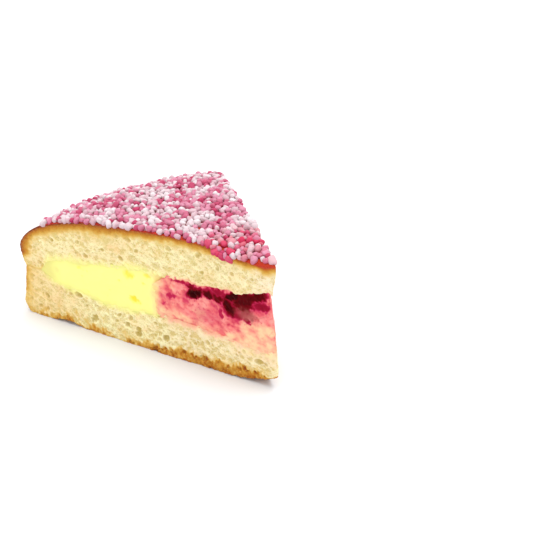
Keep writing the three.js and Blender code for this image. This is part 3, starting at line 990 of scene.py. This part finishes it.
lid_piece = new_piece(
    "lid_crumb", lid_points, lid.faces,
    {
        "bake": lid_bake,
        "hollow": lid_web,
        "pore": np.clip(lid_pores / PORE_FULL, 0, 1),
        "lip": lid_lips,
        "warm": 0.2 + 0.12 * smoothstep(lid.s, 60, 95),
        "milky": 0.65 * (1 - smoothstep(lid.s, 3, 16)) + 0.1 * (1 - smoothstep(lid.s, 16, 50)),
        "soak": np.maximum(lid_soak, 0.08 * (1 - smoothstep(lid.s, 8, 30))),
        "cream": lid_cream,
        "glaze": 0.85 * glaze,
    },
    brioche_material("brioche_lid", 0.45, 0.14),
)
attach(lid_piece, "root")
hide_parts("lid")


# Sugar pearls. Hard, rounded nibs of pressed sugar, nearly half of them dyed pink, scattered on the wet
# glaze so thickly that they pile up in places. The crust stays bare along the rim.

PEARL_RADIUS = (1.02, 1.7)
PEARL_START = 3.6
PEARL_STRAY = 1.4  # how far the sugar's border wavers
PEARL_TOUCH = 0.77  # two pearls sit this share of their radii apart, because they are lumpy
PEARL_STAND = 0.5
PEARL_INSET = 0.2  # a pearl's middle stays this share of its radius inside the cuts
PEARL_PILE = 1.6  # the highest middle above the crust
FIRST_COAT = 0.5  # the share of the darts that lie flat on the crust
COAT_RISE = 0.3
PEARL_DARTS = 14000
SLIPPED_PEARLS = 5
SLIP = (0, 1.1)  # how far below the edge they lie
PEARL_SQUARENESS = 2.7  # 2 is a ball, and more is a rounded cube
PEARL_LUMPS = 0.2
PEARL_SHAPES = ((1, 1.25), (0.8, 1), (0.65, 0.95))  # spans of length, width and thickness, in radii
PINK_SHARE = 0.42
SUGAR_WHITE = colour(221, 211, 214)
SUGAR_BLUSH = colour(194, 148, 160)
SUGAR_PINK = colour(206, 140, 163)
SUGAR_ROSE = colour(176, 8, 77)
SYRUP = colour(204, 24, 74)
SYRUP_START = (9, 22)  # the syrup gets thicker between these radii
SYRUP_END = (24, 44)  # and it thins out between these
SYRUP_SHARE = (0.35, 0.8)
DRY_SHARE = 0.35  # so many of the pearls stay dry even there

rng = np.random.default_rng(61)
heap = np.zeros((0, 4))
for dart in range(PEARL_DARTS):
    s = SUGAR_END * math.sqrt(rng.random()) + rng.normal(0, PEARL_STRAY)
    radius = rng.uniform(*PEARL_RADIUS)
    if s < PEARL_START:
        continue
    angle = rng.uniform(-1, 1) * (HALF_ANGLE - PEARL_INSET * radius / s)
    turn = (angle / HALF_ANGLE + 1) / 2
    x, y, floor_z = place(s, turn, float(crust_top(np.array(s), turn)))
    rest = floor_z + PEARL_STAND * radius
    reach = PEARL_TOUCH * (heap[:, 3] + radius)
    gap = reach**2 - (heap[:, 0] - x) ** 2 - (heap[:, 1] - y) ** 2
    touched = gap > 0
    if touched.any():
        rest = max(rest, (heap[touched, 2] + np.sqrt(gap[touched])).max())
    most = PEARL_PILE if dart > PEARL_DARTS * FIRST_COAT else PEARL_STAND * radius + COAT_RISE
    if rest - floor_z <= most:
        heap = np.vstack([heap, (x, y, rest, radius)])

# A few pink pearls have slipped over the broken edge of the near cut.
slip_rng = np.random.default_rng(66)
for s in np.linspace(CHIP_START + 1, CHIP_END + 0.5, SLIPPED_PEARLS):
    x, y, edge_z = place(s, 0, float(crust_top(s, 0)))
    slipped = (x, y, edge_z - slip_rng.uniform(*SLIP), slip_rng.uniform(*PEARL_RADIUS))
    heap = np.vstack([heap, slipped])

# A nib is a cube of small faces, puffed up into a rounded block.
nib = bmesh.new()
bmesh.ops.create_cube(nib, size=2)
bmesh.ops.subdivide_edges(nib, edges=nib.edges, cuts=3, use_grid_fill=True)
nib_points = np.array([v.co for v in nib.verts])
nib_faces = np.array([[v.index for v in f.verts] for f in nib.faces])
nib.free()
nib_points /= (np.abs(nib_points) ** PEARL_SQUARENESS).sum(1, keepdims=True) ** (1 / PEARL_SQUARENESS)


def pearl_mesh(rows, seed):
    """Lumpy nibs, one for each row of the heap, each with a tint of its own and darker towards its
    underside.

    Some of the nibs by the tip are wet with syrup."""
    rng = np.random.default_rng(seed)
    points, tints, lows, syrups = [], [], [], []
    for x, y, z, radius in rows:
        tumble = np.linalg.qr(rng.normal(size=(3, 3)))[0]
        tumble[:, 0] *= np.linalg.det(tumble)
        lumps = 1 + PEARL_LUMPS * noise(nib_points * 1.3 + rng.uniform(0, 500, 3), 1, seed)
        size = radius * np.array([rng.uniform(*span) for span in PEARL_SHAPES])
        shape = (nib_points * lumps[:, None] * size) @ tumble.T
        points.append(shape + (x, y, z))
        tints.append(np.full(len(shape), rng.random()))
        lows.append(np.clip(0.5 - 0.5 * shape[:, 2] / radius, 0, 1))
        s = math.hypot(TIP_X - x, y)
        wet = mixed(*SYRUP_SHARE, smoothstep(s, *SYRUP_START)) * (1 - smoothstep(s, *SYRUP_END))
        syrups.append(np.full(len(shape), wet * smoothstep(rng.random(), DRY_SHARE, 1)))
    faces = nib_faces + (np.arange(len(rows)) * len(nib_points))[:, None, None]
    fields = {"tint": tints, "low": lows, "syrup": syrups}
    joined = {field: np.concatenate(values) for field, values in fields.items()}
    return np.concatenate(points), faces.reshape(-1, 4), joined


# The two colours drift into small patches.
flat_heap = heap[:, :3] * (1, 1, 0)
drift = 0.4 * noise(flat_heap, 9, 62) + 0.5 * noise(flat_heap, 4.5, 65)
pink = rng.random(len(heap)) + drift < PINK_SHARE
pink[-SLIPPED_PEARLS:] = True
for name, rows, top, stain, seed in (
    ("white_pearls", heap[~pink], SUGAR_WHITE, SUGAR_BLUSH, 63),
    ("pink_pearls", heap[pink], SUGAR_PINK, SUGAR_ROSE, 64),
):
    sugar, shade = new_material(name)
    # Each pearl's colour runs towards the second one by its own tint, and further towards its underside.
    dyed = shade.field("low").stretched(0.3, 0.9) * 0.4 + shade.field("tint") * 0.9
    tint = shade.field("syrup").mixed(dyed.mixed(top, stain), SYRUP)
    surface(
        shade, Base_Color=tint, Roughness=0.55, Normal=shade.bump(shade.speckle(0.5), 0.06),
        Subsurface_Weight=0.2, Subsurface_Scale=0.0006, Subsurface_Radius=(1.0, 0.8, 0.8),
        Specular_IOR_Level=0.3,
    )
    pearls = new_piece(name, *pearl_mesh(rows, seed), sugar)
    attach(pearls, "root")


# Floor and light. A white table that runs out of the picture, under a white sky and one broad light
# from above, so that only a faint shadow is left where the slice meets the table.

FLOOR_SIZE = 20
FLOOR_WHITE = (0.78, 0.79, 0.81, 1)
SKY_STRENGTH = 1.05
LIGHT_STRENGTH = 1.8
LIGHT_SPREAD = math.radians(46)
LIGHT_FROM = Vector((0.05, 0.2, 1.9))

half = FLOOR_SIZE / 2
floor_mesh = bpy.data.meshes.new("floor")
corners = [(-half, -half, 0), (half, -half, 0), (half, half, 0), (-half, half, 0)]
floor_mesh.from_pydata(corners, [], [(0, 1, 2, 3)])
floor_material, shade = new_material("white_table")
surface(shade, Base_Color=FLOOR_WHITE, Roughness=0.9, Specular_IOR_Level=0.1)
floor_mesh.materials.append(floor_material)
floor = bpy.data.objects.new("floor", floor_mesh)
bpy.context.collection.objects.link(floor)

world = bpy.data.worlds.new("sky")
world.use_nodes = True
background = world.node_tree.nodes["Background"]
background.inputs["Color"].default_value = (1, 1, 1, 1)
background.inputs["Strength"].default_value = SKY_STRENGTH
bpy.context.scene.world = world

light_data = bpy.data.lights.new("soft_light", "SUN")
light_data.energy = LIGHT_STRENGTH
light_data.angle = LIGHT_SPREAD
light = bpy.data.objects.new("soft_light", light_data)
light.matrix_world = LIGHT_FROM.to_track_quat("Z", "Y").to_matrix().to_4x4()
bpy.context.collection.objects.link(light)

bpy.context.scene.view_settings.view_transform = "Standard"
bpy.context.scene.view_settings.look = "None"
